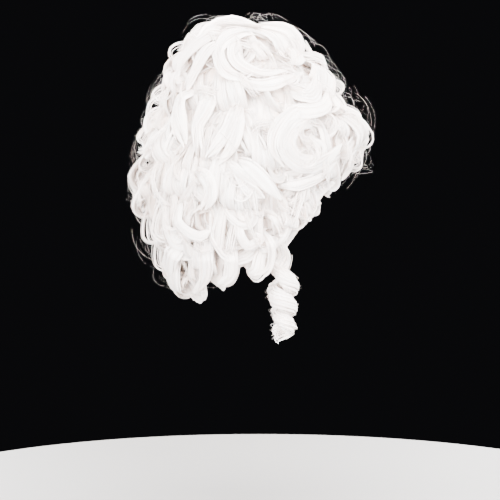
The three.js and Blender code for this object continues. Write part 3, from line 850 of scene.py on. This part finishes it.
def filler_sheets(region, mains, rng):
    """Small curls in the gaps between the main ones, a little deeper than they are."""
    centres = [(form_point(side * math.radians(m["azimuth"]), m["z"]), m["radius"]) for m, side in mains]
    sheets = []
    for azimuth, z in scattered_places(region, region["spacing"], FILLER_TOP_MARGIN, rng):
        point = form_point(azimuth, z)
        if all(np.linalg.norm(point - centre) > FILLER_KEEP_OUT * radius for centre, radius in centres):
            depth = rng.uniform(*FILLER_DEPTH) + TOP_SINK * max(0, z - CROWN_SHOULDER)
            curl = {**small_curl(azimuth, z, region["swirls"], rng), **SMALL_LOCK, "depth": depth}
            sheets += lock_sheets(curl, 1, rng)
    return sheets


def loose_sheets(region, rng):
    """Thin open curls of a few wisps that have left their locks and stand a little off the form."""
    sheets = []
    for azimuth, z in scattered_places(region, LOOSE_SPACING, LOOSE_TOP_MARGIN, rng):
        curl = {**small_curl(azimuth, z, LOOSE_SWIRLS, rng), **LOOSE_LOCK}
        curl["depth"] = rng.uniform(*LOOSE_DEPTH)
        sheets += lock_sheets({**curl, "width": curl["width"] / 2}, 1, rng)
    return sheets


def flyaway_sheets(region, tufts, rng):
    """Single fibres that stand off the form in arcs and loops, a few together."""
    rays = unit(rng.normal(0, 1, (FLYAWAY_TRIES * tufts, 3)))
    points = FORM_HEART + rays * reach_to_form(FORM_HEART, rays)[:, None]
    keep = np.flatnonzero(in_region(points, region))[:tufts]
    share = np.linspace(0, 1, FLYAWAY_STEPS)[:, None]
    sheets = []
    for rise, point in zip(rays[keep], points[keep]):
        sweep = rng.normal(0, 1, 3)
        bend = rng.uniform(*FLYAWAY_BEND)
        low, high = FLYAWAY_HEIGHT
        settled = max(0, *(FLYAWAY_SETTLING * (abs(rise[0]), rise[1], rise[2])))
        stand = (low + (high - low) * rng.uniform() ** FLYAWAY_LOWNESS) * (1 - settled)
        for _ in range(rng.integers(*FLYAWAY_TUFT)):
            tangent = unit(np.cross(rise, sweep + rng.normal(0, 0.5, 3)))
            radius = bend * rng.uniform(0.7, 1.2)
            height = min(stand * rng.uniform(0.3, 1.1), FLYAWAY_LOOP * radius)
            reach = math.acos(np.clip((radius - height - FLYAWAY_ROOT) / radius, -1, 1))
            angle = reach * (share * rng.uniform(1.2, 2.3) - 1)
            grow = radius * (1 - rng.uniform(0, 0.3) * share)
            aside = np.cross(rise, tangent) * rng.normal(0, FLYAWAY_STRAY) * share**2
            foot = point + rng.normal(0, FLYAWAY_SCATTER, 3) + rise * (height - radius)
            arc = foot + grow * (rise * np.cos(angle) + tangent * np.sin(angle)) + aside
            sheets.append(strand(arc, rng.uniform(*FLYAWAY_RADIUS), rng))
    return sheets


def hair_section(node, rows, region, tufts, seed, keep_side=(1, -1), drawn=(), hairline=0):
    """One section of hair as one piece: main locks, the small curls between them, and loose fibres."""
    rng = np.random.default_rng(seed)
    region = {**WHOLE_FORM, **region}
    mains = main_locks(rows, region["depth"], keep_side, rng)
    sheets = []
    for lock, side in mains:
        sheets += lock_sheets(lock, side, rng)
    for row in drawn:
        for side in keep_side:
            sheets += drawn_sheets(row, side, rng)
    sheets += hairline_sheets(hairline, rng)
    sheets += filler_sheets(region, mains, rng)
    sheets += loose_sheets(region, rng)
    sheets += flyaway_sheets(region, tufts, rng)
    piece = joined_mesh(node + "_hair", sheets)
    piece.data.materials.append(hair_fibre)
    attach(piece, "root")
    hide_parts(node)


BACK_SIDE = 64  # where the sides of the hair end and the back begins, in y
NAPE_TOP = -152
NAPE_LINES = (
    (9, 2, (196, 246), (204, 262), (202, 280), (192, 296)),
    (9, 3, (178, 246), (170, 258), (168, 272), (176, 284)),
)  # long locks drawn over the photo: width, sink of the tip, and the pixels of the line
NAPE_REGION = {"y": (BACK_SIDE, FAR), "z": (-FAR, NAPE_TOP), "margin": -6, "depth": 2}
hair_section("nape_curls", NAPE_LOCKS, NAPE_REGION, tufts=34, seed=11, drawn=NAPE_LINES)


# Lower back curls
# The broad curls between the nape and the widest level, of the same fibre and sewn on in rows. The inner
# pair flips out and the others turn under.
BACK_MIDDLE = -54
LOWER_BACK_LOCKS = (
    (128, -82, 0, 15, 18, 30, 1.05, 50, "both"),
    (161, -86, 0, 180, 18, 40, 0.9, 45, "both"),
    (115, -132, 0, -20, 16, 24, 1.05, 50, "both"),
    (140, -132, 0, 0, 18, 34, 1.05, 50, "both"),
    (180, -134, 0, 0, 18, 40, 1.05, 50, "centre"),
    (176, -72, 10, 0, 17, 26, 1.1, 40, "both", -9),
    (173, -106, -8, 0, 13, 24, 1.05, 36, "both", -6),
)
LOWER_BACK_LINES = (
    (12, 3, (190, 166), (206, 178), (209, 195), (203, 210)),
    (10, 3, (172, 205), (180, 222), (196, 234), (210, 232)),
)
LOWER_BACK_REGION = {"y": (BACK_SIDE, FAR), "z": (NAPE_TOP, BACK_MIDDLE), "depth": 9}
hair_section(
    "back_curls_lower", LOWER_BACK_LOCKS, LOWER_BACK_REGION, tufts=86, seed=12, drawn=LOWER_BACK_LINES
)


# Upper back curls
# The curls below the crown at the back, of the same fibre and sewn on in rows. They come out of hair that is
# combed smooth over the back of the crown.
CROWN_BASE = 60
UPPER_BACK_LOCKS = (
    (128, 20, 0, 0, 21, 36, 1.05, 60, "both"),
    (160, 24, 0, 0, 21, 42, 1.05, 60, "both"),
    (120, -34, -15, 0, 17, 26, 1.05, 55, "both"),
    (144, -32, 0, 0, 20, 36, 1.05, 55, "both"),
    (180, -30, 0, 0, 20, 42, 1.05, 60, "centre"),
    (177, 62, 8, 0, 17, 32, 1.05, 45, "centre", 6),
)
UPPER_BACK_LINES = (
    (14, 3, (196, 78), (182, 100), (176, 124), (184, 146)),
    (12, 3, (212, 84), (202, 106), (196, 128), (200, 148)),
)
UPPER_BACK_REGION = {"y": (BACK_SIDE, FAR), "z": (BACK_MIDDLE, CROWN_BASE), "depth": 11}
hair_section(
    "back_curls_upper", UPPER_BACK_LOCKS, UPPER_BACK_REGION, tufts=90, seed=13, drawn=UPPER_BACK_LINES
)


# Side curls
# The curls over the temples and ears, one section on each side, sewn to the cap's edge and in rows above it:
# falling locks above, a hollow curl above the ear, and swirls that lie flat in front of the ear.
FACE_SIDE = -22  # where the bang ends and the sides begin, in y
SIDE_LOCKS = (
    (77, 24, 0, -30, 19, 30, 1.05, 50, "both"),
    (102, 20, 0, 0, 20, 28, 1.05, 55, "both"),
    (99, -38, 0, -80, 15, 30, 1.3, 45, "both"),
    (82, -54, 0, 0, 18, 26, 1.05, 50, "both"),
    (87, -104, 30, 0, 17, 24, 1.05, 50, "both"),
    (102, -88, 0, 0, 19, 26, 1.05, 50, "both"),
    (76, -134, 0, 80, 15, 30, 1.3, 40, "both"),
    (95, -152, 30, -65, 14, 28, 1.3, 45, "both"),
)
SIDE_LINES = (
    (12, 4, (233, 96), (230, 120), (220, 140), (205, 156)),
    (9, 4, (242, 98), (240, 122), (232, 146), (218, 164)),
    (11, 2, (222, 158), (236, 172), (250, 188), (266, 196)),
    (8, 2, (232, 154), (252, 168), (270, 184), (280, 200)),
    (8, 2, (240, 216), (240, 234), (248, 246), (258, 242), (258, 232)),
    (6, 2, (262, 232), (272, 250), (268, 268), (256, 278)),
    (8, 2, (226, 246), (232, 262), (228, 278), (218, 288)),
)
SIDE_REGION = {"y": (FACE_SIDE, BACK_SIDE), "z": (-FAR, CROWN_BASE), "margin": -6}
RIGHT_REGION = {**SIDE_REGION, "x": (-FAR, 0)}
LEFT_REGION = {**SIDE_REGION, "x": (0, FAR)}
hair_section(
    "side_curls_right", SIDE_LOCKS, RIGHT_REGION, tufts=28, seed=14, keep_side=(1,), drawn=SIDE_LINES
)
hair_section(
    "side_curls_left", SIDE_LOCKS, LEFT_REGION, tufts=28, seed=15, keep_side=(-1,), drawn=SIDE_LINES
)


# Crown curls
# The tallest rolls, of fibre combed up over the top of the cap and set round wide rods. One rolls back on
# each side, and the others roll forward or down.
CROWN_LOCKS = (
    (0, 100, 0, 0, 25, 34, 1.05, 60, "centre"),
    (52, 92, 0, 0, 23, 30, 1.05, 60, "both"),
    (100, 84, -90, -80, 28, 30, 1.4, 55, "both"),
    (146, 90, 0, 0, 23, 34, 1.05, 70, "both"),
    (180, 112, 0, 0, 24, 30, 1.05, 60, "centre"),
    (100, 120, 30, -80, 26, 20, 1.15, 45, "right", 7),
    (40, 118, -60, 75, 20, 20, 1.05, 40, "left", 8),
    (4, 70, 0, 0, 15, 28, 1.05, 40, "centre", -4),
)
CROWN_LINES = (
    (14, 3, (232, 26), (206, 36), (186, 56), (174, 80)),
    (14, 3, (236, 34), (212, 46), (196, 66), (186, 90)),
    (14, 4, (290, 35), (259, 30), (230, 36), (217, 50), (226, 68), (246, 80)),
    (10, 4, (270, 44), (246, 41), (234, 50), (239, 63), (262, 72), (288, 68)),
    (9, 4, (228, 72), (250, 86), (276, 84), (300, 72)),
)
CROWN_REGION = {"z": (CROWN_BASE, FAR), "spacing": 32, "depth": 1}
hair_section("crown_curls", CROWN_LOCKS, CROWN_REGION, tufts=60, seed=16, drawn=CROWN_LINES)


# Pompadour curls
# The row of broad rolls above the bang, of the same fibre and sewn on in rows. They turn under towards the
# face and carry the front of the crown.
BANG_TOP = 15
POMPADOUR_LOCKS = (
    (0, 52, 0, 0, 22, 38, 1.05, 50, "centre"),
    (33, 50, 0, 0, 22, 36, 1.05, 50, "both"),
)
POMPADOUR_LINES = (
    (12, 3, (290, 84), (306, 96), (316, 88), (318, 72)),
    (10, 3, (282, 96), (300, 110), (322, 104), (330, 88)),
)
POMPADOUR_REGION = {"y": (-FAR, FACE_SIDE), "z": (BANG_TOP, CROWN_BASE)}
hair_section(
    "pompadour_curls", POMPADOUR_LOCKS, POMPADOUR_REGION, tufts=76, seed=17, drawn=POMPADOUR_LINES
)


# Bang curls
# The bang: a wide roll of fibre, sewn along the cap's front edge, that stands over the forehead. Swirls
# behind it lie flat on the temples, and small hooks break up the hairline.
BANG_LOCKS = (
    (0, -22, 0, 0, 29, 38, 1.1, 55, "centre"),
    (24, -20, 0, 0, 28, 34, 1.1, 55, "both"),
    (42, -36, 0, -65, 14, 28, 1.3, 45, "both"),
    (64, -36, 0, -85, 27, 30, 1.6, 50, "both"),
    (54, 16, 10, -75, 16, 28, 1.3, 45, "both"),
    (60, -92, 0, 25, 16, 24, 1.05, 40, "both"),
)
BANG_LINES = (
    (12, 3, (322, 118), (300, 112), (282, 124), (278, 146), (288, 166)),
    (15, 2, (331, 134), (315, 121), (296, 127), (289, 146), (299, 163), (317, 161), (323, 147), (312, 138)),
    (10, 3, (290, 176), (312, 170), (330, 158), (340, 146)),
    (8, 3, (284, 188), (302, 186), (322, 176), (338, 164)),
)
BANG_REGION = {"y": (-FAR, FACE_SIDE), "z": (-FAR, BANG_TOP), "margin": 6}
hair_section("bang_curls", BANG_LOCKS, BANG_REGION, tufts=56, seed=18, drawn=BANG_LINES, hairline=36)


# Ringlets
# A long corkscrew lock in front of each ear, set by heat round a thin rod. It leaves the cap under the side
# curls, makes one loose turn and then winds down in tight turns to a thin tip.
RINGLET_ROOT = np.array((-78.0, -16.0, -146.0))
RINGLET_AXIS = np.array((-68.0, -27.0))  # x and y of the line that the tight turns wind round
RINGLET_LOOSE_TURN = 46  # height of the first, loose turn
RINGLET_TIGHT_TURN = 24  # height of each later turn
RINGLET_TIGHT_TURNS = 3
RINGLET_RADIUS = 13
RINGLET_TIP_RADIUS = 7
RINGLET_CREASE = 0.62  # radius in the crease between two turns, as a share
RINGLET_BULGE = 1.15  # radius in the middle of a turn, as a share
RINGLET_WOBBLE = 0.03  # how far each band's radius comes and goes, as a share
RINGLET_TWIST = 0.06  # how far each band is turned from the next, in radians
RINGLET_WIDTH = 20
RINGLET_GATHER = ((0, 0.2, 0.85, 1), (0.6, 1, 0.9, 0.4))  # how far its bands are spread along it
RINGLET_SWAY = 2.5
RINGLET_LEAN = 1.6  # drift towards the back for each turn
RINGLET_STEPS = 64
RINGLET_FLYAWAYS = 14
RINGLET_BANDS = 5
RINGLET_LOCK = {"body": True, "wisps": 3, "wisp_width": (2.0, 4.6), "strands": 1}


def ringlet_path(side, slot, swell, rng):
    """Stations down a ringlet for the band at one share of its width; the middle ones stand out most."""
    turns = np.linspace(0, 1 + RINGLET_TIGHT_TURNS - rng.uniform(0, 0.2), RINGLET_STEPS)
    loose, tight = np.minimum(1, turns), np.maximum(0, turns - 1)
    narrowing = (RINGLET_TIP_RADIUS - RINGLET_RADIUS) * (tight / RINGLET_TIGHT_TURNS) ** 2
    bulge = swell * (RINGLET_CREASE + (RINGLET_BULGE - RINGLET_CREASE) * math.cos(math.pi * slot))
    wobble = 1 + rng.uniform(-RINGLET_WOBBLE, RINGLET_WOBBLE) * np.sin(5 * turns)
    radius = (RINGLET_RADIUS * loose + narrowing) * bulge * wobble
    angle = 2 * math.pi * turns + rng.uniform(-RINGLET_TWIST, RINGLET_TWIST)
    sway = RINGLET_SWAY * np.sin(2.3 * tight) + RINGLET_LEAN * tight
    x = RINGLET_ROOT[0] + (RINGLET_AXIS[0] - RINGLET_ROOT[0]) * loose - radius * np.cos(angle)
    y = RINGLET_ROOT[1] + (RINGLET_AXIS[1] - RINGLET_ROOT[1]) * loose - radius * np.sin(angle) + sway
    z = RINGLET_ROOT[2] - RINGLET_LOOSE_TURN * loose - RINGLET_TIGHT_TURN * tight
    gather = np.interp(turns / turns[-1], *RINGLET_GATHER)
    rise = np.stack((0 * loose, 1 - loose**2, loose**2), -1)
    points = np.stack((side * x, y, z), -1) + unit(rise) * (slot * RINGLET_WIDTH * gather)[:, None]
    return points, -side * unit(rise)


for name, side, seed in (("ringlet_right", 1, 21), ("ringlet_left", -1, 22)):
    rng = np.random.default_rng(seed)
    coils = []
    for slot in np.linspace(-0.5, 0.5, RINGLET_BANDS):
        points, across = ringlet_path(side, slot, 1, rng)
        band_width = RINGLET_WIDTH / RINGLET_BANDS * rng.uniform(*BAND_OVERLAP)
        coils += dressed(points, across, band_width, RINGLET_LOCK, rng)
    for _ in range(RINGLET_FLYAWAYS):
        points, across = ringlet_path(side, rng.uniform(-0.4, 0.4), rng.uniform(1.08, 1.4), rng)
        start = rng.integers(RINGLET_STEPS // 4, RINGLET_STEPS - 14)
        coils.append(strand(points[start : start + rng.integers(12, 24)], rng.uniform(*FLYAWAY_RADIUS), rng))
    ringlet = joined_mesh(name + "_hair", coils)
    ringlet.data.materials.append(hair_fibre)
    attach(ringlet, "root")
    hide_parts(name)


# Floor, studio light and camera
# A round sweep of painted board under the object, soft panels on every side, and a long lens that looks
# level at the wearer's right side. The exposure is high, so the grey board shows pale. Sizes are in metres.
FLOOR_HEIGHT = -0.451
FLOOR_RADIUS = 0.5
FLOOR_THICKNESS = 0.02
FLOOR_SIDES = 96
FLOOR_ROUNDING = 0.006
FLOOR_EDGE = math.radians(40)
FLOOR_HEX = "#6F6C6A"
DARK = (0.0006, 0.0006, 0.0007, 1)
EXPOSURE = 2.95
SENSOR = 36  # width in mm
PANELS = (
    ((-1.5, -0.7, 0.7), 1.4, 34),
    ((-1.5, 0.9, 0.0), 1.4, 32),
    ((0.0, 0.0, 1.5), 1.3, 20),
    ((1.4, -0.9, 0.5), 1.3, 24),
    ((1.3, 1.1, 0.5), 1.3, 24),
    ((0.0, -1.6, -0.1), 1.2, 14),
)  # place, side in metres and watts of each soft panel

bpy.ops.object.select_all(action="DESELECT")
floor_middle = (0, 0, FLOOR_HEIGHT - FLOOR_THICKNESS / 2)
bpy.ops.mesh.primitive_cylinder_add(
    vertices=FLOOR_SIDES, radius=FLOOR_RADIUS, depth=FLOOR_THICKNESS, location=floor_middle
)
floor = bpy.context.object
floor.name = "floor"
rounding = floor.modifiers.new("rounding", "BEVEL")
rounding.width = FLOOR_ROUNDING
rounding.segments = 3
bpy.ops.object.modifier_apply(modifier=rounding.name)
bpy.ops.object.shade_smooth_by_angle(angle=FLOOR_EDGE)
painted_board = new_material("painted_board")  # rolled matte paint: even and dull
matte_grey = {"Base Color": linear(FLOOR_HEX), "Roughness": 0.7}
paint = add_node(painted_board, "ShaderNodeBsdfPrincipled", matte_grey)
add_node(painted_board, "ShaderNodeOutputMaterial", {"Surface": paint.outputs["BSDF"]})
floor.data.materials.append(painted_board)

for place, side, watts in PANELS:
    bpy.ops.object.light_add(type="AREA", location=place)
    panel = bpy.context.object
    panel.data.shape = "SQUARE"
    panel.data.size = side
    panel.data.energy = watts
    aim = np.array(SIGHT_POINT) - np.array(place)
    tilt = math.atan2(math.hypot(aim[0], aim[1]), -aim[2])
    panel.rotation_euler = (tilt, 0, math.atan2(aim[1], aim[0]) - math.pi / 2)

world = bpy.data.worlds.new("dark_studio")
world.use_nodes = True
world.node_tree.nodes["Background"].inputs["Color"].default_value = DARK
bpy.context.scene.world = world
bpy.context.scene.view_settings.view_transform = "AgX"
bpy.context.scene.view_settings.exposure = EXPOSURE

bpy.ops.object.camera_add(location=(SIGHT_POINT[0] - CAMERA_DISTANCE, SIGHT_POINT[1], SIGHT_POINT[2]))
camera = bpy.context.object
camera.rotation_euler = (math.pi / 2, 0, -math.pi / 2)
camera.data.sensor_width = SENSOR
camera.data.lens = SENSOR * CAMERA_DISTANCE / (PHOTO_SCALE * IMAGE_SIDE)
bpy.context.scene.camera = camera
